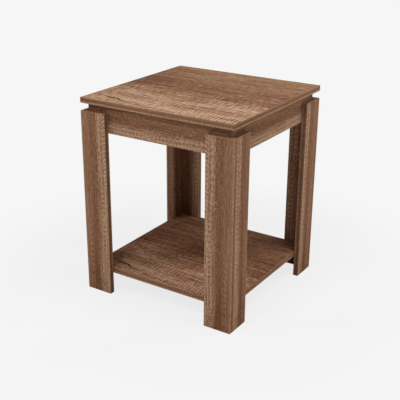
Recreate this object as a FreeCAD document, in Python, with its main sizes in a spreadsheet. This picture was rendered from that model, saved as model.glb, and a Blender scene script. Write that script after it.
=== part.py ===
import FreeCAD, Part
import os
import re
import Sketcher

# End table with a lower shelf, built from decor-faced particleboard like a flat-pack table: a top on an
# apron frame, four L-section legs screwed on from inside the apron, and a shelf held between the legs by
# cam fittings. Millimetres. +Z is up, -Y the front and +X the right; the origin is on the floor at the
# centre of the footprint.

SIZES = (
    ("table_width", 500, "overall, left to right"),
    ("table_depth", 500, "overall, front to back"),
    ("table_height", 595, "floor to the upper face of the top"),
    ("board", 16, "thickness of every board"),
    ("edging", 1, "thickness of the edging strips"),
    ("shadow_gap", 22, "open height between the leg tops and the top's underside"),
    ("apron_height", 80, "apron with its lower edging strip"),
    ("leg_face_width", 85, "leg seen from the front or back, with its edging"),
    ("leg_side_width", 83, "leg seen from the side, corner to edging"),
    ("shelf_level", 81, "floor to the upper face of the shelf"),
    ("dowel_diameter", 8, "beech dowel"),
    ("dowel_length", 30, "beech dowel"),
    ("dowel_seat", 11, "length of a dowel in the board that is drilled on its face"),
    ("dowel_chamfer", 1, "on both ends of a dowel"),
    ("thread_diameter", 5, "cam bolt, screwed end"),
    ("thread_length", 11, "cam bolt, screwed end"),
    ("bolt_diameter", 6.6, "cam bolt, body"),
    ("neck_diameter", 3.6, "cam bolt, neck inside the cam"),
    ("neck_lead", 1, "cam bolt, length of the neck that stands out of the cam"),
    ("head_diameter", 6.4, "cam bolt, head inside the cam"),
    ("head_length", 4, "cam bolt, head inside the cam"),
    ("cam_diameter", 15, "cam lock"),
    ("cam_depth", 12.5, "cam lock"),
    ("cam_setback", 34, "joint face to the centre of the cam"),
    ("cam_play", 0.3, "room round the bolt's head and neck inside the cam"),
    ("screw_diameter", 4, "leg screw"),
    ("screw_length", 25, "leg screw, under the head"),
    ("screw_tip", 4, "length of the leg screw's point"),
    ("screw_head_diameter", 8, "leg screw"),
    ("screw_head_height", 2.4, "leg screw"),
    ("screw_head_bevel", 1, "leg screw, rim of the head"),
    ("recess_length", 5, "cross recess, arm to arm"),
    ("recess_width", 1.2, "cross recess, one arm"),
    ("recess_depth", 1.4, "cross recess"),
    ("fit", 0.1, "radial clearance of a fitting in its bore"),
    ("drill_over", 0.5, "extra depth of a blind bore"),
    ("apron_dowel_drop", 22, "apron corner dowel, below the apron's upper edge"),
    ("top_bolt_offset", 110, "top bolts in the front and back aprons, from the centre"),
    ("top_dowel_offset", 120, "top dowels in the side aprons, from the centre"),
    ("face_screw_setback", 60, "screws into the leg face boards, from the table's outer corner"),
    ("side_screw_setback", 45, "screws into the leg side boards, from the table's outer corner"),
    ("leg_screw_margin", 15, "leg screws, from the leg's upper end and from the apron's lower edge"),
    ("leg_dowel_margin", 60, "outer leg dowels, from the ends of the leg"),
    ("shelf_bolt_setback", 50, "shelf bolts, from the table's outer corner"),
    ("shelf_dowel_setback", 60, "shelf dowels, from the table's outer corner"),
)

doc = FreeCAD.newDocument("end_table")
sheet = doc.addObject("Spreadsheet::Sheet", "Sizes")
for row, (word, value, meaning) in enumerate(SIZES, 1):
    sheet.set(f"A{row}", meaning)
    sheet.set(f"B{row}", str(value))
    sheet.setAlias(f"B{row}", word)
doc.recompute()

# Levels, lengths and insets from the table's sides that several pieces share, in the sheet's own words.
APRON_TOP = "(table_height - board)"
APRON_BOTTOM = "(table_height - board - apron_height)"
APRON_BOARD = "(apron_height - edging)"
APRON_MIDLINE = "1.5 * board"
APRON_INNER = "2 * board"
LEG_HEIGHT = "(table_height - board - shadow_gap)"
SHELF_MIDDLE = "(shelf_level - board / 2)"
SIDE_BOARD = "(leg_side_width - board - edging)"
DOWEL_IN_EDGE = "(dowel_length - dowel_seat)"
BOLT_BORE = "bolt_diameter + 2 * fit"
DOWEL_BORE = "dowel_diameter + 2 * fit"
SCREW_BORE = "screw_diameter + 2 * fit"
THREAD_BORE = "thread_diameter + 2 * fit"
CAM_BORE = "cam_diameter + 2 * fit"
CAM_BORE_DEPTH = "cam_depth + drill_over"
THREAD_BORE_DEPTH = "thread_length + drill_over"
SEAT_BORE_DEPTH = "dowel_seat + drill_over"
EDGE_BORE_DEPTH = f"{DOWEL_IN_EDGE} + drill_over"

SIDES = (("left", -1), ("right", 1))
ENDS = (("front", -1), ("back", 1))
CORNERS = [(f"{end}_{side}", x, y) for end, y in ENDS for side, x in SIDES]

# For each axis: the origin plane square to it, the way that plane faces, and the two axes that lie in it.
PLANES = {"X": ("YZ_Plane", 1, (1, 2)), "Y": ("XZ_Plane", -1, (0, 2)), "Z": ("XY_Plane", 1, (0, 1))}

nodes = []
centres = {}


def bind(item, path, formula):
    """Ties a property to a formula written with the words of the sheet."""
    item.setExpression(path, re.sub(r"[a-z]\w*", lambda word: "Sizes." + word.group(), formula))


def across(sign, inset):
    """X of what lies inset from the left (-1) or right (1) side of the table."""
    return f"{sign} * (table_width / 2 - ({inset}))"


def along(sign, inset):
    """Y of what lies inset from the front (-1) or back (1) of the table."""
    return f"{sign} * (table_depth / 2 - ({inset}))"


def new_body(label, centre=("0", "0", "0")):
    """An empty body whose own origin is at the given point of the table."""
    body = doc.addObject("PartDesign::Body", label)
    body.Label = label
    for axis, formula in zip("xyz", centre):
        bind(body, f"Placement.Base.{axis}", formula)
    centres[label] = centre
    return body


def new_sketch(body, name, axis, offset="0"):
    """A sketch square to an axis of the body, at a distance along that axis."""
    role, facing, _ = PLANES[axis]
    plane = next(item for item in body.Origin.OriginFeatures if item.Role == role)
    sketch = body.newObject("Sketcher::SketchObject", name)
    sketch.AttachmentSupport = [(plane, "")]
    sketch.MapMode = "FlatFace"
    bind(sketch, "AttachmentOffset.Base.z", f"{facing} * ({offset})")
    return sketch


def place_point(sketch, geometry, vertex, name, spot):
    """Holds a point of the sketch at two formulas measured from the sketch's origin."""
    for kind, formula in zip(("DistanceX", "DistanceY"), spot):
        number = sketch.addConstraint(Sketcher.Constraint(kind, -1, 1, geometry, vertex, 1.0))
        sketch.renameConstraint(number, f"{name}_{kind[-1]}")
        bind(sketch, f"Constraints.{name}_{kind[-1]}", formula)


def outline(sketch, corners):
    """A closed outline of straight lines through corners, each held by two formulas."""
    count = len(corners)
    start = sketch.GeometryCount
    spoke = FreeCAD.Vector(10, 0, 0)
    ring = [FreeCAD.Rotation(FreeCAD.Vector(0, 0, 1), 360 * n / count).multVec(spoke) for n in range(count)]
    for n in range(count):
        sketch.addGeometry(Part.LineSegment(ring[n], ring[(n + 1) % count]), False)
    for n in range(count):
        following = start + (n + 1) % count
        sketch.addConstraint(Sketcher.Constraint("Coincident", start + n, 2, following, 1))
    for n, spot in enumerate(corners):
        place_point(sketch, start + n, 1, f"corner_{start + n}", spot)


def rectangle(sketch, low, high):
    """A rectangle between two opposite corners."""
    outline(sketch, [low, (high[0], low[1]), high, (low[0], high[1])])


def cut(body, sketch, depth, backwards):
    """A pocket from the sketch, against the way its plane faces unless it is cut backwards."""
    pocket = body.newObject("PartDesign::Pocket", sketch.Name + "_cut")
    pocket.Profile = sketch
    pocket.Reversed = backwards
    bind(pocket, "Length", depth)
    body.Tip = pocket


def board(label, centre, spans, through):
    """A rectangular board or strip about its centre, padded through its thickness."""
    body = new_body(label, centre)
    sketch = new_sketch(body, label + "_outline", through)
    first, second = (spans[axis] for axis in PLANES[through][2])
    rectangle(sketch, (f"-({first}) / 2", f"-({second}) / 2"), (f"({first}) / 2", f"({second}) / 2"))
    pad = body.newObject("PartDesign::Pad", label + "_board")
    pad.Profile = sketch
    pad.SideType = "Symmetric"
    bind(pad, "Length", spans["XYZ".index(through)])
    nodes.append(body)
    return body


def bore(body, name, travel, mouth, spots, diameter, depth):
    """Drills round bores that start at the mouth, a place along the axis of travel such as "+Y" or "-Z".

    The mouth and the spots are places on the table; the spots are on the two other axes, in order.
    """
    axis = travel[1]
    facing, plane_axes = PLANES[axis][1:]
    centre = centres[body.Label]
    sketch = new_sketch(body, f"{body.Label}_{name}", axis, f"{mouth} - ({centre['XYZ'.index(axis)]})")
    for n, spot in enumerate(spots):
        middle = FreeCAD.Vector(30 * n, 0, 0)
        sketch.addGeometry(Part.Circle(middle, FreeCAD.Vector(0, 0, 1), 2), False)
        local = [f"{place} - ({centre[number]})" for place, number in zip(spot, plane_axes)]
        place_point(sketch, n, 3, f"bore_{n}", local)
        if n:
            sketch.addConstraint(Sketcher.Constraint("Equal", 0, n))
    number = sketch.addConstraint(Sketcher.Constraint("Diameter", 0, 4.0))
    sketch.renameConstraint(number, "bore_diameter")
    bind(sketch, "Constraints.bore_diameter", diameter)
    cut(body, sketch, depth, backwards=(travel[0] == "+") == (facing > 0))


def turned(label, profile):
    """A turned piece about its own Z axis, from (radius, height) corners that start and end on the axis."""
    body = new_body(label)
    sketch = new_sketch(body, label + "_profile", "Y")
    outline(sketch, profile)
    turn = body.newObject("PartDesign::Revolution", label + "_turned")
    turn.Profile = sketch
    turn.ReferenceAxis = (sketch, ["V_Axis"])
    turn.Angle = 360
    return body


def cross_recess(body, level, backwards):
    """A cross-shaped driver recess in an end face, cut one arm after the other."""
    arms = ("recess_length / 2", "recess_width / 2")
    for name, (half_x, half_y) in (("recess_x", arms), ("recess_y", arms[::-1])):
        sketch = new_sketch(body, f"{body.Label}_{name}", "Z", level)
        rectangle(sketch, (f"-{half_x}", f"-{half_y}"), (half_x, half_y))
        cut(body, sketch, "recess_depth", backwards)


def fittings(label, master, places):
    """A set of identical fittings: copies of the master at (point, way of its Z, way of its X) places."""
    copies = []
    for n, (point, z_way, x_way) in enumerate(places, 1):
        copy = doc.addObject("App::Link", f"{label}_{n}")
        copy.LinkedObject = master
        z_axis = FreeCAD.Vector(*z_way)
        x_axis = FreeCAD.Vector(*x_way)
        turn = FreeCAD.Rotation(x_axis, z_axis.cross(x_axis), z_axis, "ZXY")
        copy.Placement = FreeCAD.Placement(FreeCAD.Vector(), turn)
        for axis, formula in zip("xyz", point):
            bind(copy, f"Placement.Base.{axis}", formula)
        copies.append(copy)
    group = doc.addObject("Part::Compound", label)
    group.Label = label
    group.Links = copies
    nodes.append(group)


def towards(sign):
    """The sign of a direction of travel along an axis."""
    return "+" if sign > 0 else "-"


# ---- Masters of the fittings. The dowel and the bolt have their origin where the two boards meet, the cam
# on its outer face and the screw under its head.

dowel = turned("dowel", [
    ("0", "-dowel_seat"),
    ("dowel_diameter / 2 - dowel_chamfer", "-dowel_seat"),
    ("dowel_diameter / 2", "-dowel_seat + dowel_chamfer"),
    ("dowel_diameter / 2", f"{DOWEL_IN_EDGE} - dowel_chamfer"),
    ("dowel_diameter / 2 - dowel_chamfer", DOWEL_IN_EDGE),
    ("0", DOWEL_IN_EDGE),
])

body_end = "(cam_setback - cam_diameter / 2 - neck_lead)"
head_start = "(cam_setback - head_length / 2)"
head_end = "(cam_setback + head_length / 2)"
cam_bolt = turned("cam_bolt", [
    ("0", "-thread_length"),
    ("thread_diameter / 2", "-thread_length"),
    ("thread_diameter / 2", "0"),
    ("bolt_diameter / 2", "0"),
    ("bolt_diameter / 2", body_end),
    ("neck_diameter / 2", body_end),
    ("neck_diameter / 2", head_start),
    ("head_diameter / 2", head_start),
    ("head_diameter / 2", head_end),
    ("0", head_end),
])

# The cam's outer face looks along +Z; its slot takes the bolt's head and opens towards +X.
cam_lock = turned("cam_lock", [
    ("0", "-cam_depth"),
    ("cam_diameter / 2", "-cam_depth"),
    ("cam_diameter / 2", "0"),
    ("0", "0"),
])
cavity_depth = "cam_depth - board / 2 + head_diameter / 2 + cam_play"
slot_depth = "cam_depth - board / 2 + neck_diameter / 2 + cam_play"
head_room = ("(head_length / 2 + cam_play)", "(head_diameter / 2 + cam_play)")
neck_room = ("cam_diameter", "(neck_diameter / 2 + cam_play)")
sketch = new_sketch(cam_lock, "cam_lock_head_cavity", "Z", "-cam_depth")
rectangle(sketch, (f"-{head_room[0]}", f"-{head_room[1]}"), head_room)
cut(cam_lock, sketch, cavity_depth, backwards=True)
sketch = new_sketch(cam_lock, "cam_lock_neck_slot", "Z", "-cam_depth")
rectangle(sketch, ("0", f"-{neck_room[1]}"), neck_room)
cut(cam_lock, sketch, slot_depth, backwards=True)
cross_recess(cam_lock, "0", backwards=False)

leg_screw = turned("leg_screw", [
    ("0", "-screw_head_height"),
    ("screw_head_diameter / 2 - screw_head_bevel", "-screw_head_height"),
    ("screw_head_diameter / 2", "-screw_head_height + screw_head_bevel"),
    ("screw_head_diameter / 2", "0"),
    ("screw_diameter / 2", "0"),
    ("screw_diameter / 2", "screw_length - screw_tip"),
    ("0", "screw_length"),
])
cross_recess(leg_screw, "-screw_head_height", backwards=True)


# ---- Top and shelf: boards with an edging strip on each of their four edges.

def edged_panel(label, width, depth, middle):
    """A level board with its edging; the front and back strips cover the ends of the side strips."""
    inner_width = f"{width} - 2 * edging"
    inner_depth = f"{depth} - 2 * edging"
    panel = board(label, ("0", "0", middle), (inner_width, inner_depth, "board"), "Z")
    strips = {}
    for end, y in ENDS:
        centre = ("0", f"{y} * ({depth} - edging) / 2", middle)
        strips[end] = board(f"{label}_edging_{end}", centre, (width, "edging", "board"), "Y")
    for side, x in SIDES:
        centre = (f"{x} * ({width} - edging) / 2", "0", middle)
        strips[side] = board(f"{label}_edging_{side}", centre, ("edging", inner_depth, "board"), "X")
    return panel, strips


table_top, _ = edged_panel("table_top", "table_width", "table_depth", "table_height - board / 2")
shelf_width = "(table_width - 2 * board)"
shelf_depth = "(table_depth - 2 * board)"
shelf, shelf_strips = edged_panel("shelf", shelf_width, shelf_depth, SHELF_MIDDLE)


# ---- Apron: the front and back boards cover the ends of the side boards; each has a strip on its lower edge.

apron_middle = f"{APRON_TOP} - {APRON_BOARD} / 2"
apron_strip_middle = f"{APRON_BOTTOM} + edging / 2"
aprons = {}
for end, y in ENDS:
    plan = ("0", along(y, APRON_MIDLINE))
    length = "table_width - 2 * board"
    aprons[end] = board(f"apron_{end}", (*plan, apron_middle), (length, "board", APRON_BOARD), "Y")
    board(f"apron_{end}_edging", (*plan, apron_strip_middle), (length, "board", "edging"), "Z")
for side, x in SIDES:
    plan = (across(x, APRON_MIDLINE), "0")
    length = "table_depth - 4 * board"
    aprons[side] = board(f"apron_{side}", (*plan, apron_middle), ("board", length, APRON_BOARD), "X")
    board(f"apron_{side}_edging", (*plan, apron_strip_middle), ("board", length, "edging"), "Z")


# ---- Legs: a face board with the side board butted behind it; the upper ends and the long edges are edged.

face_boards = {}
side_boards = {}
leg_board_height = f"({LEG_HEIGHT} - edging)"
leg_board_middle = f"{leg_board_height} / 2"
for corner, x, y in CORNERS:
    leg = f"leg_{corner}"
    face_x = across(x, "leg_face_width / 2")
    face_y = along(y, "board / 2")
    face_span = "leg_face_width - 2 * edging"
    face_boards[corner] = board(
        f"{leg}_face", (face_x, face_y, leg_board_middle), (face_span, "board", leg_board_height), "Y")
    for strip, inset in (("corner", "edging / 2"), ("inner", "leg_face_width - edging / 2")):
        centre = (across(x, inset), face_y, f"{LEG_HEIGHT} / 2")
        board(f"{leg}_face_edging_{strip}", centre, ("edging", "board", LEG_HEIGHT), "X")
    centre = (face_x, face_y, f"{LEG_HEIGHT} - edging / 2")
    board(f"{leg}_face_edging_top", centre, (face_span, "board", "edging"), "Z")

    side_x = across(x, "board / 2")
    side_y = along(y, f"board + {SIDE_BOARD} / 2")
    side_boards[corner] = board(
        f"{leg}_side", (side_x, side_y, leg_board_middle), ("board", SIDE_BOARD, leg_board_height), "X")
    centre = (side_x, along(y, "leg_side_width - edging / 2"), f"{LEG_HEIGHT} / 2")
    board(f"{leg}_side_edging_inner", centre, ("board", "edging", LEG_HEIGHT), "Y")
    centre = (side_x, side_y, f"{LEG_HEIGHT} - edging / 2")
    board(f"{leg}_side_edging_top", centre, ("board", SIDE_BOARD, "edging"), "Z")


# ---- Apron corners: a bolt and a dowel run from each front or back board into the end of a side board.
# The bolt passes midway between the two leg screws.

bolt_level = f"({APRON_BOTTOM} + {LEG_HEIGHT}) / 2"
dowel_level = f"{APRON_TOP} - apron_dowel_drop"
for end, y in ENDS:
    seam = along(y, APRON_INNER)
    threads = [(across(x, APRON_MIDLINE), bolt_level) for _, x in SIDES]
    seats = [(across(x, APRON_MIDLINE), dowel_level) for _, x in SIDES]
    outward = towards(y) + "Y"
    bore(aprons[end], "threads", outward, seam, threads, THREAD_BORE, THREAD_BORE_DEPTH)
    bore(aprons[end], "dowels", outward, seam, seats, DOWEL_BORE, SEAT_BORE_DEPTH)
for side, x in SIDES:
    mid = across(x, APRON_MIDLINE)
    for end, y in ENDS:
        seam = along(y, APRON_INNER)
        inward = towards(-y) + "Y"
        bore(aprons[side], f"{end}_bolt", inward, seam, [(mid, bolt_level)], BOLT_BORE, "cam_setback")
        bore(aprons[side], f"{end}_dowel", inward, seam, [(mid, dowel_level)], DOWEL_BORE, EDGE_BORE_DEPTH)
    cams = [(along(y, f"{APRON_INNER} + cam_setback"), bolt_level) for _, y in ENDS]
    bore(aprons[side], "cams", towards(x) + "X", across(x, APRON_INNER), cams, CAM_BORE, CAM_BORE_DEPTH)

fittings("apron_cam_bolts", cam_bolt, [
    ((across(x, APRON_MIDLINE), along(y, APRON_INNER), bolt_level), (0, -y, 0), (1, 0, 0))
    for _, x, y in CORNERS])
fittings("apron_cam_locks", cam_lock, [
    ((across(x, APRON_INNER), along(y, f"{APRON_INNER} + cam_setback"), bolt_level), (-x, 0, 0), (0, y, 0))
    for _, x, y in CORNERS])
fittings("apron_dowels", dowel, [
    ((across(x, APRON_MIDLINE), along(y, APRON_INNER), dowel_level), (0, -y, 0), (1, 0, 0))
    for _, x, y in CORNERS])


# ---- Top to apron: bolts hang from the top into the front and back aprons, dowels stand in the side aprons.

bolt_spots = [(f"{x} * top_bolt_offset", along(y, APRON_MIDLINE)) for _, y in ENDS for _, x in SIDES]
dowel_spots = [(across(x, APRON_MIDLINE), f"{y} * top_dowel_offset") for _, y in ENDS for _, x in SIDES]
bore(table_top, "threads", "+Z", APRON_TOP, bolt_spots, THREAD_BORE, THREAD_BORE_DEPTH)
bore(table_top, "dowels", "+Z", APRON_TOP, dowel_spots, DOWEL_BORE, SEAT_BORE_DEPTH)
for end, y in ENDS:
    spots = [(f"{x} * top_bolt_offset", along(y, APRON_MIDLINE)) for _, x in SIDES]
    bore(aprons[end], "top_bolts", "-Z", APRON_TOP, spots, BOLT_BORE, "cam_setback")
    cams = [(f"{x} * top_bolt_offset", f"{APRON_TOP} - cam_setback") for _, x in SIDES]
    bore(aprons[end], "top_cams", towards(y) + "Y", along(y, APRON_INNER), cams, CAM_BORE, CAM_BORE_DEPTH)
for side, x in SIDES:
    spots = [(across(x, APRON_MIDLINE), f"{y} * top_dowel_offset") for _, y in ENDS]
    bore(aprons[side], "top_dowels", "-Z", APRON_TOP, spots, DOWEL_BORE, EDGE_BORE_DEPTH)

fittings("top_cam_bolts", cam_bolt, [((*spot, APRON_TOP), (0, 0, -1), (1, 0, 0)) for spot in bolt_spots])
fittings("top_cam_locks", cam_lock, [
    ((f"{x} * top_bolt_offset", along(y, APRON_INNER), f"{APRON_TOP} - cam_setback"), (0, -y, 0), (0, 0, 1))
    for _, x, y in CORNERS])
fittings("top_dowels", dowel, [((*spot, APRON_TOP), (0, 0, -1), (1, 0, 0)) for spot in dowel_spots])


# ---- Legs: dowels hold each side board to its face board, and screws from inside the apron hold the leg.

leg_dowel_levels = ("leg_dowel_margin", f"{LEG_HEIGHT} / 2", f"{LEG_HEIGHT} - leg_dowel_margin")
screw_levels = (f"{APRON_BOTTOM} + leg_screw_margin", f"{LEG_HEIGHT} - leg_screw_margin")
bite = "screw_length - board + drill_over"
for corner, x, y in CORNERS:
    seam = along(y, "board")
    spots = [(across(x, "board / 2"), level) for level in leg_dowel_levels]
    bore(face_boards[corner], "dowels", towards(y) + "Y", seam, spots, DOWEL_BORE, SEAT_BORE_DEPTH)
    bore(side_boards[corner], "dowels", towards(-y) + "Y", seam, spots, DOWEL_BORE, EDGE_BORE_DEPTH)
    spots = [(across(x, "face_screw_setback"), level) for level in screw_levels]
    bore(face_boards[corner], "screws", towards(y) + "Y", seam, spots, SCREW_BORE, bite)
    spots = [(along(y, "side_screw_setback"), level) for level in screw_levels]
    bore(side_boards[corner], "screws", towards(x) + "X", across(x, "board"), spots, SCREW_BORE, bite)
for end, y in ENDS:
    spots = [(across(x, "face_screw_setback"), level) for _, x in SIDES for level in screw_levels]
    bore(aprons[end], "leg_screws", towards(y) + "Y", along(y, APRON_INNER), spots, SCREW_BORE, "board")
for side, x in SIDES:
    spots = [(along(y, "side_screw_setback"), level) for _, y in ENDS for level in screw_levels]
    bore(aprons[side], "leg_screws", towards(x) + "X", across(x, APRON_INNER), spots, SCREW_BORE, "board")

fittings("leg_dowels", dowel, [
    ((across(x, "board / 2"), along(y, "board"), level), (0, -y, 0), (1, 0, 0))
    for _, x, y in CORNERS for level in leg_dowel_levels])
fittings("leg_face_screws", leg_screw, [
    ((across(x, "face_screw_setback"), along(y, APRON_INNER), level), (0, y, 0), (1, 0, 0))
    for _, x, y in CORNERS for level in screw_levels])
fittings("leg_side_screws", leg_screw, [
    ((across(x, APRON_INNER), along(y, "side_screw_setback"), level), (x, 0, 0), (0, 1, 0))
    for _, x, y in CORNERS for level in screw_levels])


# ---- Shelf to legs: at each corner a bolt from the face board and a dowel from the side board.

for corner, x, y in CORNERS:
    bolt_spot = (across(x, "shelf_bolt_setback"), SHELF_MIDDLE)
    dowel_spot = (along(y, "shelf_dowel_setback"), SHELF_MIDDLE)
    bore(face_boards[corner], "shelf_bolt", towards(y) + "Y", along(y, "board"), [bolt_spot], THREAD_BORE,
         THREAD_BORE_DEPTH)
    bore(side_boards[corner], "shelf_dowel", towards(x) + "X", across(x, "board"), [dowel_spot], DOWEL_BORE,
         SEAT_BORE_DEPTH)
for end, y in ENDS:
    spots = [(across(x, "shelf_bolt_setback"), SHELF_MIDDLE) for _, x in SIDES]
    inward = towards(-y) + "Y"
    bore(shelf_strips[end], "bolts", inward, along(y, "board"), spots, BOLT_BORE, "edging")
    bore(shelf, f"{end}_bolts", inward, along(y, "board + edging"), spots, BOLT_BORE, "cam_setback - edging")
for side, x in SIDES:
    spots = [(along(y, "shelf_dowel_setback"), SHELF_MIDDLE) for _, y in ENDS]
    inward = towards(-x) + "X"
    bore(shelf_strips[side], "dowels", inward, across(x, "board"), spots, DOWEL_BORE, "edging")
    bore(shelf, f"{side}_dowels", inward, across(x, "board + edging"), spots, DOWEL_BORE,
         f"{EDGE_BORE_DEPTH} - edging")
shelf_underside = "(shelf_level - board)"
cam_spots = [(across(x, "shelf_bolt_setback"), along(y, "board + cam_setback")) for _, x, y in CORNERS]
bore(shelf, "cams", "+Z", shelf_underside, cam_spots, CAM_BORE, CAM_BORE_DEPTH)

fittings("shelf_cam_bolts", cam_bolt, [
    ((across(x, "shelf_bolt_setback"), along(y, "board"), SHELF_MIDDLE), (0, -y, 0), (1, 0, 0))
    for _, x, y in CORNERS])
fittings("shelf_cam_locks", cam_lock, [
    ((*spot, shelf_underside), (0, 0, -1), (0, y, 0)) for spot, (_, x, y) in zip(cam_spots, CORNERS)])
fittings("shelf_dowels", dowel, [
    ((across(x, "board"), along(y, "shelf_dowel_setback"), SHELF_MIDDLE), (-x, 0, 0), (0, 1, 0))
    for _, x, y in CORNERS])


# ---- Build, check and write one STEP file for each sub-part.

doc.recompute()
for item in doc.Objects:
    if {"Invalid", "Error"} & set(item.State):
        raise RuntimeError(f"{item.Label} failed to build")
    if item.TypeId == "PartDesign::Pocket" and item.Shape.Volume > item.BaseFeature.Shape.Volume - 1e-3:
        raise RuntimeError(f"{item.Label} cuts nothing")
for node in nodes:
    if node.Shape.isNull() or not node.Shape.isValid():
        raise RuntimeError(f"{node.Label} has no valid shape")

os.makedirs("parts", exist_ok=True)
for node in nodes:
    node.Shape.exportStep(f"parts/{node.Label}.step")
print(f"{len(nodes)} sub-parts written")
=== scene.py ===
import math

import bpy
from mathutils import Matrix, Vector


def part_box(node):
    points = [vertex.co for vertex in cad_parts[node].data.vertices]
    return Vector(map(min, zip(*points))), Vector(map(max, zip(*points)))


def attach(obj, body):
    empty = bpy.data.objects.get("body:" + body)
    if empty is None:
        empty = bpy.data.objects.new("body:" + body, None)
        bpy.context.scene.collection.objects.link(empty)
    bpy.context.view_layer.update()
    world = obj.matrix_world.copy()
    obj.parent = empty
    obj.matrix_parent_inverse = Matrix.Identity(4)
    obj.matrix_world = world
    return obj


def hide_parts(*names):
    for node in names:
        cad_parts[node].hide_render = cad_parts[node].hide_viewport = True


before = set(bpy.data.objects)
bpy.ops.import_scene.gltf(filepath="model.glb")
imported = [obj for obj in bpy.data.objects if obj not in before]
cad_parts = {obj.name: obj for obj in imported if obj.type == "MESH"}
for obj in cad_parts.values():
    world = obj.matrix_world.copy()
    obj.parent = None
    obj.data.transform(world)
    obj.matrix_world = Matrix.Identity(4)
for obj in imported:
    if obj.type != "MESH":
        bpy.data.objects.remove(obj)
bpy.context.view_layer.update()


# ---- Camera: a longish lens at the chest height of a standing person, looking down on the table's front
# right corner. Metres; +X is the table's right and -Y its front.

camera_place = Vector((1.182, -1.8655, 1.140))
turned_right = math.radians(33.75)
looking_down = math.radians(21.28)
image_width = 400
focal_pixels = 785.0
optical_centre = (184.9, 193.1)
sensor_width = 36.0

camera_data = bpy.data.cameras.new("camera")
camera_data.sensor_width = sensor_width
camera_data.lens = focal_pixels / image_width * sensor_width
camera_data.shift_x = 0.5 - optical_centre[0] / image_width
camera_data.shift_y = optical_centre[1] / image_width - 0.5
camera = bpy.data.objects.new("camera", camera_data)
camera.location = camera_place
camera.rotation_euler = (math.pi / 2 - looking_down, 0, turned_right)
bpy.context.scene.collection.objects.link(camera)
bpy.context.scene.camera = camera
bpy.context.scene.view_settings.view_transform = "Standard"


# ---- Studio: a plain pale floor that runs out of sight, a dim even sky and six round soft lamps set about
# the table at several heights. The camera and reflections see floor and sky in one pale tone, with the
# table's soft shadow on the floor.

pale = (0.922, 0.922, 0.922, 1)
white = (1, 1, 1, 1)
sky_strength = 0.03
floor_width = 40.0
# The floor lights the table in a warmer tone than the one that the camera sees, to redden the inner faces.
floor_colour = (0.88, 0.81, 0.79, 1)
# How much of the table's shadow the camera sees; how far out it is whole, and where it is gone.
shadow_depth = 0.14
shadow_full, shadow_gone = 0.50, 0.95
lamp_width = 1.2
lamp_aim = Vector((0, 0, 0.3))
# Each lamp's place in metres and its power in watts.
lamps = (
    ("lamp_left", (-1.96, -1.96, 1.90), 25.5),
    ("lamp_front", (0.00, -1.88, 2.89), 36.5),
    ("lamp_right_low", (2.77, 0.00, 1.90), 8.5),
    ("lamp_right_high", (1.30, 0.00, 3.22), 30.5),
    ("lamp_back_right", (2.05, 2.05, 1.65), 26.0),
    ("lamp_back_left", (-1.30, 1.30, 2.92), 8.0),
)


def add_node(tree, kind, feeds=None, **settings):
    """One shader node, with its settings and with a value or a link for each input named in feeds."""
    made = tree.nodes.new("ShaderNode" + kind)
    for setting, value in settings.items():
        setattr(made, setting, value)
    for socket, value in (feeds or {}).items():
        if isinstance(value, bpy.types.NodeSocket):
            tree.links.new(value, made.inputs[socket])
        else:
            made.inputs[socket].default_value = value
    return made


def figure(tree, operation, *values):
    """The result of one operation on numbers, such as ADD or MULTIPLY."""
    return add_node(tree, "Math", dict(enumerate(values)), operation=operation).outputs[0]


def ease(tree, value, start, end):
    """0 before start and 1 past end, or the other way about where end is smaller, with a smooth change."""
    return add_node(tree, "MapRange", {0: value, 1: start, 2: end, 3: 0, 4: 1},
                    interpolation_type="SMOOTHSTEP").outputs[0]


def seen_directly(tree):
    """1 for rays that come from the camera or by way of a reflection, and 0 for those that light things."""
    path = add_node(tree, "LightPath")
    either = figure(tree, "MAXIMUM", path.outputs["Is Camera Ray"], path.outputs["Is Glossy Ray"])
    return figure(tree, "MAXIMUM", either, path.outputs["Is Transmission Ray"])


sky = bpy.data.worlds.new("sky")
bpy.context.scene.world = sky
sky.use_nodes = True
tree = sky.node_tree
tree.nodes.clear()
lit = add_node(tree, "Background", {"Color": white, "Strength": sky_strength})
shown = add_node(tree, "Background", {"Color": pale, "Strength": 1})
either = add_node(tree, "MixShader", {0: seen_directly(tree), 1: lit.outputs[0], 2: shown.outputs[0]})
add_node(tree, "OutputWorld", {"Surface": either.outputs[0]})

floor_paint = bpy.data.materials.new("floor_paint")
floor_paint.use_nodes = True
tree = floor_paint.node_tree
tree.nodes.clear()
place = add_node(tree, "TexCoord").outputs["Object"]
distance = add_node(tree, "VectorMath", {0: place}, operation="LENGTH").outputs["Value"]
near = figure(tree, "MULTIPLY", ease(tree, distance, shadow_gone, shadow_full), shadow_depth)
dim = add_node(tree, "BsdfDiffuse", {"Color": floor_colour})
bright = add_node(tree, "BsdfDiffuse", {"Color": pale})
glow = add_node(tree, "Emission", {"Color": pale, "Strength": 1})
shadowed = add_node(tree, "MixShader", {0: near, 1: glow.outputs[0], 2: bright.outputs[0]})
either = add_node(tree, "MixShader", {0: seen_directly(tree), 1: dim.outputs[0], 2: shadowed.outputs[0]})
add_node(tree, "OutputMaterial", {"Surface": either.outputs[0]})

bpy.ops.object.select_all(action="DESELECT")
bpy.ops.mesh.primitive_plane_add(size=floor_width, location=(0, 0, 0))
floor = bpy.context.object
floor.name = "floor"
floor.data.materials.append(floor_paint)

for lamp_name, place, power in lamps:
    lamp_data = bpy.data.lights.new(lamp_name, "AREA")
    lamp_data.shape = "DISK"
    lamp_data.size = lamp_width
    lamp_data.energy = power
    lamp = bpy.data.objects.new(lamp_name, lamp_data)
    lamp.location = place
    lamp.rotation_euler = (lamp_aim - Vector(place)).to_track_quat("-Z", "Y").to_euler()
    bpy.context.scene.collection.objects.link(lamp)


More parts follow.
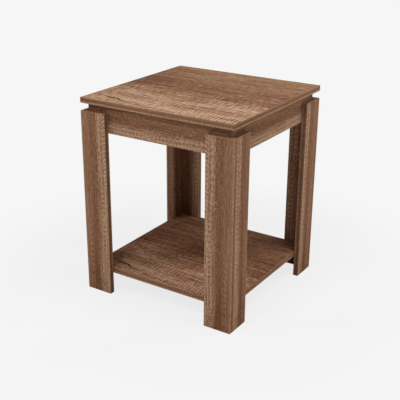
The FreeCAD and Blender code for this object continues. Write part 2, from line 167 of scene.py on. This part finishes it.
# ---- Apron boards: four lengths of 16 mm chipboard faced on both sides with foil, printed as brown oak.
# The front and back boards run from corner to corner, with foil on their ends too. One whole print, with
# streaks, a crack and rows of saw marks, is fitted to the length and width of every board.

# The colour of each tone of the print, in linear red, green and blue. A higher tone is a paler one.
oak_colours = (
    (0.10, (0.022, 0.009, 0.006)),
    (0.24, (0.087, 0.036, 0.020)),
    (0.36, (0.187, 0.086, 0.048)),
    (0.40, (0.231, 0.111, 0.062)),
    (0.46, (0.288, 0.156, 0.089)),
    (0.49, (0.323, 0.179, 0.102)),
    (0.58, (0.435, 0.267, 0.174)),
    (0.68, (0.600, 0.408, 0.285)),
)
# The tone across the print, from its pale edge at 0 to its other edge at 1.
oak_bands = (
    (0.00, 0.57), (0.10, 0.56), (0.17, 0.53), (0.24, 0.56), (0.34, 0.50),
    (0.47, 0.42), (0.60, 0.40), (0.72, 0.46), (0.90, 0.47), (1.00, 0.50),
)
# Streaks: start along and across, end along and across, half width, and how much paler. The first spans the
# print and darkens its start, at the foot of each leg and the left end of the top. It is partly print and
# partly painted shade.
oak_streaks_and_painted_shade = (
    (-0.30, 0.600, 0.19, 0.600, 0.500, -0.030),
    (-0.10, 0.885, 0.36, 0.875, 0.020, -0.060),
    (-0.10, 0.780, 0.36, 0.775, 0.050, -0.030),
    (-0.10, 0.650, 0.34, 0.620, 0.040, -0.050),
    (0.18, 0.570, 0.44, 0.570, 0.030, -0.030),
    (-0.10, 0.480, 0.28, 0.450, 0.030, -0.055),
    (0.22, 0.490, 0.58, 0.465, 0.016, -0.050),
    (0.56, 0.500, 0.72, 0.520, 0.014, -0.060),
    (0.60, 0.415, 0.92, 0.385, 0.030, -0.070),
    (0.06, 0.320, 0.44, 0.300, 0.080, -0.045),
    (-0.10, 0.180, 0.24, 0.180, 0.030, -0.030),
    (0.04, 0.215, 0.34, 0.150, 0.012, -0.050),
    (0.34, 0.056, 0.42, 0.030, 0.008, -0.140),
    (0.56, 0.165, 1.10, 0.165, 0.035, -0.040),
    (0.82, 0.300, 1.10, 0.300, 0.060, -0.035),
    (0.60, 0.280, 1.10, 0.250, 0.045, 0.030),
    (0.52, 0.220, 0.84, 0.220, 0.060, 0.032),
    (0.28, 0.245, 0.60, 0.205, 0.020, 0.040),
    (0.18, 0.105, 0.36, 0.100, 0.030, 0.035),
    (0.14, 0.100, 0.96, 0.095, 0.040, 0.030),
    (0.44, 0.630, 0.88, 0.610, 0.090, 0.035),
    (0.76, 0.500, 1.10, 0.490, 0.040, 0.025),
    (0.34, 0.880, 0.64, 0.880, 0.050, 0.050),
)
# The crack, in five stretches like the streaks that run into each other, with a knot at the fourth.
crack = (
    (-0.02, 0.122, 0.12, 0.104, 0.005, -0.18),
    (0.07, 0.106, 0.17, 0.086, 0.005, -0.22),
    (0.11, 0.089, 0.22, 0.084, 0.005, -0.42),
    (0.18, 0.094, 0.235, 0.060, 0.007, -0.62),
    (0.21, 0.067, 0.29, 0.056, 0.005, -0.25),
)
# Rows of saw marks: middle and half width across; start, end, first mark and pitch along; how far the marks
# lean, how much they change the tone and how unevenly they are spaced.
saw_rows = (
    (0.175, 0.050, 0.25, 0.60, 0.281, 0.0267, 0.00, 0.070, 0.25),
    (0.045, 0.055, 0.62, 1.02, 0.688, 0.0220, -0.08, 0.100, 0.25),
    (0.045, 0.055, 0.29, 0.60, 0.300, 0.0225, -0.05, 0.045, 1.20),
    (0.770, 0.080, 0.04, 0.41, 0.060, 0.0330, -0.04, 0.035, 0.80),
    (0.275, 0.085, 0.60, 0.98, 0.620, 0.0345, -0.04, 0.035, 0.80),
    (0.420, 0.045, 0.58, 0.72, 0.590, 0.0360, 0.00, 0.050, 0.50),
    (0.165, 0.040, 0.60, 0.98, 0.620, 0.0350, 0.00, 0.025, 0.80),
)
# Kinds of fine mark: how closely they lie along, across and into the sheet, over one whole print or to the
# metre of board; their detail and roughness as noise; and how much they change the tone.
print_mottle = ((26, 80, 1), 3, 0.7, 0.25)
print_ticks = ((120, 16, 1), 2, 0.6, 0.28)
print_lines = ((2.5, 55, 1), 2, 0.7, 0.36)
board_hairs = ((45, 900, 900), 3, 0.6, 0.16)
# Pores: how closely they lie, the noise at which one starts and is full, and how much they change the tone.
pore_scale = (70, 1700, 1700)
pore_start, pore_full = 0.60, 0.72
pore_depth = 0.12
# Ticks and lines keep only a part of their depth in the plain side of the print.
lively_up_to, plain_from = 0.30, 0.75
plain_ticks, plain_lines = 0.3, 0.6
# How far and how often the bands stray across the print, and the two tints that the print wanders between.
stray_reach = 0.030
stray_scale = (4, 5, 1)
olive_tint, red_tint = (0.970, 1.010, 0.940, 1), (1.035, 0.985, 1.020, 1)
tint_scale = (6, 12, 1)
# The foil's lacquer: paler marks are smoother, and it is rubbed unevenly along the board.
foil_roughness = 0.58
relief_polish = 0.3
rubbed_polish = 0.05
rubbed_scale = (9, 9, 9)
# Real lacquer is much glossier than this, but under these lamps more gloss turns the top grey.
foil_sheen = 0.01


def cloud(tree, vector, scale, detail=2.0, roughness=0.5):
    """Smooth random values round 0.5, with the vector stretched by scale."""
    stretched = add_node(tree, "VectorMath", {0: vector, 1: scale}, operation="MULTIPLY").outputs[0]
    return add_node(tree, "TexNoise", {"Vector": stretched, "Scale": 1, "Detail": detail,
                                       "Roughness": roughness}).outputs[0]


def swing(tree, value, reach):
    """A random value round 0.5 turned into one from about -reach to +reach."""
    return figure(tree, "MULTIPLY", figure(tree, "SUBTRACT", value, 0.5), 2 * reach)


def within(tree, value, low, high, fade):
    """1 between low and high, and 0 outside them, with a smooth change over the fade on each side."""
    away = figure(tree, "ABSOLUTE", figure(tree, "SUBTRACT", value, (low + high) / 2))
    half = (high - low) / 2
    return ease(tree, away, half + fade, max(half - fade, 0))


def streak(tree, along, across, start, start_across, end, end_across, half):
    """1 on the middle line of a streak, fading to 0 at its sides and ends."""
    slope = (end_across - start_across) / (end - start)
    middle = figure(tree, "MULTIPLY_ADD", along, slope, start_across - slope * start)
    away = figure(tree, "ABSOLUTE", figure(tree, "SUBTRACT", across, middle))
    longest_fade, fade_share = 0.08, 0.3
    fade = min(longest_fade, fade_share * (end - start))
    length_part = within(tree, along, start + fade, end - fade, fade)
    return figure(tree, "MULTIPLY", ease(tree, away, 2 * half, 0), length_part)


def ramp(tree, value, stops):
    """A colour ramp with the given places and colours."""
    made = add_node(tree, "ValToRGB", {0: value})
    for n, (place, colour) in enumerate(stops):
        stop = made.color_ramp.elements[n] if n < 2 else made.color_ramp.elements.new(place)
        stop.position = place
        stop.color = (*colour, 1) if len(colour) == 3 else colour
    return made.outputs[0]


def bands_and_streaks(tree, along, across):
    """The print's tone from its bands, its streaks, the first partly painted shade, and its crack."""
    tone = ramp(tree, across, [(place, (level, level, level)) for place, level in oak_bands])
    for *route, paler in oak_streaks_and_painted_shade + crack:
        tone = figure(tree, "MULTIPLY_ADD", streak(tree, along, across, *route), paler, tone)
    return tone


def saw_marks(tree, sheet, along, across):
    """The change of tone from all the rows of saw marks, with some marks stronger than others."""
    spacing_scale, strength_scale = (11, 9, 1), (40, 30, 1)
    side_fade, end_fade = 0.4, 0.03
    marks = 0.0
    for middle, half, start, end, first, pitch, lean, depth, uneven in saw_rows:
        back = figure(tree, "MULTIPLY_ADD", across, -lean, along)
        turns = figure(tree, "MULTIPLY_ADD", back, 1 / pitch, (lean * middle - first) / pitch)
        turns = figure(tree, "ADD", turns, swing(tree, cloud(tree, sheet, spacing_scale), uneven))
        wave = figure(tree, "COSINE", figure(tree, "MULTIPLY", turns, 2 * math.pi))
        width_part = within(tree, across, middle - half, middle + half, half * side_fade)
        row = figure(tree, "MULTIPLY", width_part, within(tree, along, start, end, end_fade))
        marks = figure(tree, "MULTIPLY_ADD", figure(tree, "MULTIPLY", wave, row), -depth, marks)
    strength = figure(tree, "MULTIPLY", cloud(tree, sheet, strength_scale, 1), 2)
    return figure(tree, "MULTIPLY", marks, strength)


def scatter(tree, vector, scale, detail, roughness, depth):
    """The change of tone from one kind of fine mark."""
    return swing(tree, cloud(tree, vector, scale, detail, roughness), depth)


def fine_marks(tree, sheet, board, across):
    """The change of tone from the print's mottle, ticks and lines and from the wood's hairs and pores."""
    mottle = scatter(tree, sheet, *print_mottle)
    ticks = scatter(tree, sheet, *print_ticks)
    lines = scatter(tree, sheet, *print_lines)
    lively = ease(tree, across, plain_from, lively_up_to)
    tick_share = figure(tree, "MULTIPLY_ADD", lively, 1 - plain_ticks, plain_ticks)
    line_share = figure(tree, "MULTIPLY_ADD", lively, 1 - plain_lines, plain_lines)
    ticks = figure(tree, "MULTIPLY", ticks, tick_share)
    lines = figure(tree, "MULTIPLY", lines, line_share)
    hairs = scatter(tree, board, *board_hairs)
    pores = ease(tree, cloud(tree, board, pore_scale, 1), pore_start, pore_full)
    texture = figure(tree, "ADD", figure(tree, "ADD", mottle, ticks), figure(tree, "ADD", lines, hairs))
    return figure(tree, "MULTIPLY_ADD", pores, -pore_depth, texture)


oak_print = bpy.data.node_groups.new("oak_print", "ShaderNodeTree")
for socket in ("Print", "Grain"):
    oak_print.interface.new_socket(socket, in_out="INPUT", socket_type="NodeSocketVector")
for socket, kind in (("Color", "Color"), ("Roughness", "Float"), ("Height", "Float")):
    oak_print.interface.new_socket(socket, in_out="OUTPUT", socket_type="NodeSocket" + kind)
given = oak_print.nodes.new("NodeGroupInput")
sheet, board = given.outputs["Print"], given.outputs["Grain"]
split = add_node(oak_print, "SeparateXYZ", {0: sheet})
along, across = split.outputs[0], split.outputs[1]
stray = swing(oak_print, cloud(oak_print, sheet, stray_scale), stray_reach)
tone = bands_and_streaks(oak_print, along, figure(oak_print, "ADD", across, stray))
marks = saw_marks(oak_print, sheet, along, across)
relief = figure(oak_print, "ADD", fine_marks(oak_print, sheet, board, across), marks)
tone = figure(oak_print, "ADD", tone, relief)

hue = ramp(oak_print, cloud(oak_print, sheet, tint_scale), ((0.35, olive_tint), (0.65, red_tint)))
colour = ramp(oak_print, tone, oak_colours)
colour = add_node(oak_print, "VectorMath", {0: colour, 1: hue}, operation="MULTIPLY").outputs[0]
rough = figure(oak_print, "MULTIPLY_ADD", relief, -relief_polish, foil_roughness)
rubbed = swing(oak_print, cloud(oak_print, board, rubbed_scale, 3), rubbed_polish)
rough = figure(oak_print, "ADD", rough, rubbed)
given_back = oak_print.nodes.new("NodeGroupOutput")
for socket, value in (("Color", colour), ("Roughness", rough), ("Height", relief)):
    oak_print.links.new(value, given_back.inputs[socket])

# The foil's thickness and relief and the width of one flake of the bare chipboard within, in metres.
foil_thickness = 0.0003
foil_relief = 0.0004
foil_relief_strength = 0.35
flake_size = 0.0024
flake_colours = ((0.0, (0.16, 0.09, 0.045)), (0.45, (0.40, 0.27, 0.15)), (1.0, (0.62, 0.47, 0.30)))
flake_roughness = 0.9


def axis_of(way):
    """0, 1 or 2 for the axis of a way such as "+X" or "Z"."""
    return "XYZ".index(way[-1])


def run(tree, split, way, low, high):
    """How far a point lies from one end of a board to the other, 0 to 1, the given way such as "+X"."""
    axis = axis_of(way)
    start, end = (low, high) if way[0] == "+" else (high, low)
    return add_node(tree, "MapRange", {0: split.outputs[axis], 1: start[axis], 2: end[axis], 3: 0, 4: 1},
                    clamp=False).outputs[0]


def foiled(tree, split, way, low, high):
    """1 in the foil on both faces of a board across an axis such as "X", or on one such as "+X"."""
    axis = axis_of(way)
    out = figure(tree, "SUBTRACT", split.outputs[axis], (low[axis] + high[axis]) / 2)
    if len(way) == 1:
        out = figure(tree, "ABSOLUTE", out)
    elif way[0] == "-":
        out = figure(tree, "MULTIPLY", out, -1)
    return figure(tree, "GREATER_THAN", out, (high[axis] - low[axis]) / 2 - foil_thickness)


def face_with_foil(piece, node, along, across, *faces, painted_shade=None):
    """The finish of one board or strip: foil on its printed faces and bare flakes within. The print runs
    along and across it the given ways, such as "+Z" and "-X"; painted shade, where given, is multiplied into
    its foil's colour."""
    low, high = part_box(node)
    finish = bpy.data.materials.new(node + "_finish")
    finish.use_nodes = True
    tree = finish.node_tree
    tree.nodes.clear()
    split = add_node(tree, "SeparateXYZ", {0: add_node(tree, "TexCoord").outputs["Object"]})
    sheet = add_node(tree, "CombineXYZ", {0: run(tree, split, along, low, high),
                                          1: run(tree, split, across, low, high)}).outputs[0]
    board_ways = [split.outputs[axis_of(way)] for way in (along, across, faces[0])]
    board = add_node(tree, "CombineXYZ", dict(enumerate(board_ways))).outputs[0]
    oak = add_node(tree, "Group", node_tree=oak_print)
    tree.links.new(sheet, oak.inputs["Print"])
    tree.links.new(board, oak.inputs["Grain"])
    oak_colour = oak.outputs["Color"]
    # Painted shade, where given, darkens the foil's colour.
    if painted_shade:
        oak_colour = add_node(tree, "VectorMath", {0: oak_colour, 1: painted_shade}, operation="MULTIPLY").outputs[0]

    printed = foiled(tree, split, faces[0], low, high)
    for way in faces[1:]:
        printed = figure(tree, "MAXIMUM", printed, foiled(tree, split, way, low, high))
    flakes = add_node(tree, "TexVoronoi", {"Vector": board, "Scale": 1 / flake_size})
    flake_shade = add_node(tree, "SeparateXYZ", {0: flakes.outputs["Color"]}).outputs[0]
    bare = ramp(tree, flake_shade, flake_colours)
    mixed = add_node(tree, "Mix", {0: printed, 6: bare, 7: oak_colour}, data_type="RGBA").outputs[2]
    smoother = figure(tree, "SUBTRACT", oak.outputs["Roughness"], flake_roughness)
    rough = figure(tree, "MULTIPLY_ADD", printed, smoother, flake_roughness)
    flake_height = figure(tree, "MULTIPLY", figure(tree, "SUBTRACT", 1, printed), flake_shade)
    height = figure(tree, "MULTIPLY_ADD", printed, oak.outputs["Height"], flake_height)
    bump = add_node(tree, "Bump", {"Height": height, "Strength": foil_relief_strength,
                                   "Distance": foil_relief})
    paint = add_node(tree, "BsdfPrincipled", {"Base Color": mixed, "Roughness": rough,
                                              "Normal": bump.outputs[0], "Specular IOR Level": foil_sheen})
    add_node(tree, "OutputMaterial", {"Surface": paint.outputs[0]})
    piece.data.materials.clear()
    piece.data.materials.append(finish)


for side, way, *faces in (("front", "+X", "Y", "X"), ("back", "-X", "Y", "X"), ("left", "-Y", "X"),
                          ("right", "+Y", "X")):
    node = f"apron_{side}"
    face_with_foil(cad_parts[node], node, way, "+Z", *faces)


# ---- Apron edging strips: the printed foil again, on a thin backing, glued along the lower edge of each
# apron board and flush with its faces, with both long arrises scraped round.

# The radius of an arris, and how near to a face's plane an edge counts as lying in it, in metres.
arris = 0.0005
in_plane = 1e-6
arris_steps = 3
smooth_up_to = math.radians(35)


def lay_strip(node, outward, exposed, along, across, painted_shade=None):
    """One edging strip: a thin strip with a round arris wherever two of its exposed faces meet."""
    low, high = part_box(node)
    bpy.ops.object.select_all(action="DESELECT")
    bpy.ops.mesh.primitive_cube_add(size=1, location=(low + high) / 2)
    strip = bpy.context.object
    strip.name = node.replace("edging", "strip")
    bpy.ops.object.mode_set(mode="EDIT")
    bpy.ops.transform.resize(value=high - low, center_override=(low + high) / 2)
    bpy.ops.mesh.select_mode(type="EDGE")
    bpy.ops.mesh.select_all(action="DESELECT")
    bpy.ops.object.mode_set(mode="OBJECT")
    bpy.ops.object.transform_apply(location=True, rotation=False, scale=False)
    for edge in strip.data.edges:
        points = [strip.data.vertices[n].co for n in edge.vertices]
        touching = 0
        for way in exposed.split():
            axis = axis_of(way)
            plane = high[axis] if way[0] == "+" else low[axis]
            touching += all(abs(point[axis] - plane) < in_plane for point in points)
        edge.select = touching == 2
    bpy.ops.object.mode_set(mode="EDIT")
    bpy.ops.mesh.bevel(offset=arris, segments=arris_steps, profile=0.5)
    bpy.ops.object.mode_set(mode="OBJECT")
    bpy.ops.object.shade_smooth_by_angle(angle=smooth_up_to)
    # The strip's foil takes painted shade where it is given.
    face_with_foil(strip, node, along, across, outward, painted_shade=painted_shade)
    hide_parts(node)
    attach(strip, "root")


for side, way, thick in (("front", "+X", "Y"), ("back", "-X", "Y"), ("left", "-Y", "X"),
                         ("right", "+Y", "X")):
    lay_strip(f"apron_{side}_edging", "-Z", f"-Z -{thick} +{thick}", way, "+" + thick)


# ---- Apron corner fittings: at each corner a plated steel cam bolt screws into the front or back board.
# A cast zinc cam lock in the side board's inner face turns to draw it in, below one glued dowel of beech.

# Each finish: dark and pale colour, 1 for metal, roughness, and specks to the metre.
steel_dark, steel_pale = (0.42, 0.41, 0.39), (0.66, 0.64, 0.60)
bolt_steel = (steel_dark, steel_pale, 1.0, 0.30, 900)
cam_zinc = ((0.30, 0.30, 0.30), (0.56, 0.56, 0.55), 1.0, 0.45, 1400)
bare_beech = ((0.42, 0.27, 0.15), (0.66, 0.46, 0.28), 0.0, 0.70, 700)
# How far the roughness of every finish strays and over how many specks to the metre, and their relief.
uneven_shine = 0.12
shine_specks = 300
speck_relief = 0.0002
speck_relief_strength = 0.25


def dress(names, finish_name, dark, pale, metallic, roughness, specks_per_metre):
    """One finish for some of the CAD's fittings, mottled between two colours."""
    finish = bpy.data.materials.new(finish_name)
    finish.use_nodes = True
    tree = finish.node_tree
    tree.nodes.clear()
    place = add_node(tree, "TexCoord").outputs["Object"]
    specks = cloud(tree, place, (specks_per_metre,) * 3, 4, 0.6)
    shade = ramp(tree, specks, ((0.3, dark), (0.7, pale)))
    shine = swing(tree, cloud(tree, place, (shine_specks,) * 3, 3), uneven_shine)
    rough = figure(tree, "ADD", shine, roughness)
    bump = add_node(tree, "Bump", {"Height": specks, "Strength": speck_relief_strength,
                                   "Distance": speck_relief})
    paint = add_node(tree, "BsdfPrincipled", {"Base Color": shade, "Metallic": metallic, "Roughness": rough,
                                              "Normal": bump.outputs[0]})
    add_node(tree, "OutputMaterial", {"Surface": paint.outputs[0]})
    for name in names:
        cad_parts[name].data.materials.clear()
        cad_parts[name].data.materials.append(finish)


dress(["apron_cam_bolts"], "apron_bolt_steel", *bolt_steel)
dress(["apron_cam_locks"], "apron_lock_zinc", *cam_zinc)
dress(["apron_dowels"], "apron_dowel_beech", *bare_beech)


# ---- Leg boards: each leg is an L of two boards of the same faced chipboard, a wider face board at the
# front or back and a side board butted behind it. Their lower ends stand raw on the floor.

legs = [(f"leg_{end}_{side}", front, outer) for end, front in (("front", "-"), ("back", "+"))
        for side, outer in (("left", "-"), ("right", "+"))]
turned_round = {"-": "+", "+": "-"}

for leg, _, outer in legs:
    face_with_foil(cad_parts[leg + "_face"], leg + "_face", "+Z", outer + "X", "Y")
    face_with_foil(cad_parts[leg + "_side"], leg + "_side", "+Z", "+Y", "X")


# ---- Leg edging strips: the long edges and upper ends of the leg boards are edged like the aprons. The
# strip down the outer corner of each leg covers the face board's edge.

# Painted shade: under these lamps the upper ends, which stand in the deep shade under the top, come out too
# light. This darkens their foil to stand for that shade, and isn't known to be a real colour of theirs.
leg_top_painted_shade = (0.66, 0.60, 0.55)

for leg, front, outer in legs:
    behind, inner = turned_round[front], turned_round[outer]
    lay_strip(leg + "_face_edging_corner", outer + "X", f"{outer}X {front}Y -Z +Z", "+Z", behind + "Y")
    lay_strip(leg + "_face_edging_inner", inner + "X", f"{inner}X -Y +Y -Z +Z", "+Z", front + "Y")
    lay_strip(leg + "_face_edging_top", "+Z", f"{front}Y +Z", "+X", "+Y", leg_top_painted_shade)
    lay_strip(leg + "_side_edging_inner", behind + "Y", f"{behind}Y -X +X -Z +Z", "+Z", "+X")
    lay_strip(leg + "_side_edging_top", "+Z", f"{outer}X +Z", "+Y", "+X", leg_top_painted_shade)


# ---- Leg fittings: glued beech dowels join the two boards of each leg. Pan-head steel screws with a cross
# recess go from inside the apron into the legs, two to a board.

screw_steel = (steel_dark, steel_pale, 1.0, 0.34, 900)

dress(["leg_dowels"], "leg_dowel_beech", *bare_beech)
dress(["leg_face_screws", "leg_side_screws"], "leg_screw_steel", *screw_steel)


# ---- Shelf: one board of the same faced chipboard between the legs. All four edges are stripped; the front
# and back strips cover the ends of the other two.

# Painted shade: under these lamps the shelf and its strips, in the top's shade, come out too light and too
# grey. These darken and redden their foil to stand for that shade and its warm bounced light, and aren't
# known to be real colours of theirs.
shelf_painted_shade = (0.90, 0.82, 0.81)
shelf_strip_painted_shade = (0.93, 0.90, 0.91)

face_with_foil(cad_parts["shelf"], "shelf", "+X", "+Y", "Z", painted_shade=shelf_painted_shade)


def edge_panel(panel, painted_shade=None):
    """Four strips round a panel, of which the front and back ones show their rounded ends."""
    lay_strip(panel + "_edging_front", "-Y", "-Y -X +X -Z +Z", "+X", "+Z", painted_shade)
    lay_strip(panel + "_edging_back", "+Y", "+Y -X +X -Z +Z", "-X", "+Z", painted_shade)
    lay_strip(panel + "_edging_left", "-X", "-X -Z +Z", "-Y", "+Z", painted_shade)
    lay_strip(panel + "_edging_right", "+X", "+X -Z +Z", "+Y", "+Z", painted_shade)


edge_panel("shelf", shelf_strip_painted_shade)


# ---- Shelf fittings: a cam bolt in each leg's face board is held by a cam lock let flush into the shelf's
# underside, and a beech dowel goes from the shelf into the side board beside it.

dress(["shelf_cam_bolts"], "shelf_bolt_steel", *bolt_steel)
dress(["shelf_cam_locks"], "shelf_lock_zinc", *cam_zinc)
dress(["shelf_dowels"], "shelf_dowel_beech", *bare_beech)


# ---- Table top: a square of the same faced chipboard that lies on the apron, flush with the legs' outer
# faces, with its four edges stripped like the shelf's.

face_with_foil(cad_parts["table_top"], "table_top", "+X", "+Y", "Z")
edge_panel("table_top")


# ---- Table top fittings: cam bolts hang from the top into cam locks in the front and back aprons, and
# dowels place it on the side aprons. None of them shows from above.

dress(["top_cam_bolts"], "top_bolt_steel", *bolt_steel)
dress(["top_cam_locks"], "top_lock_zinc", *cam_zinc)
dress(["top_dowels"], "top_dowel_beech", *bare_beech)
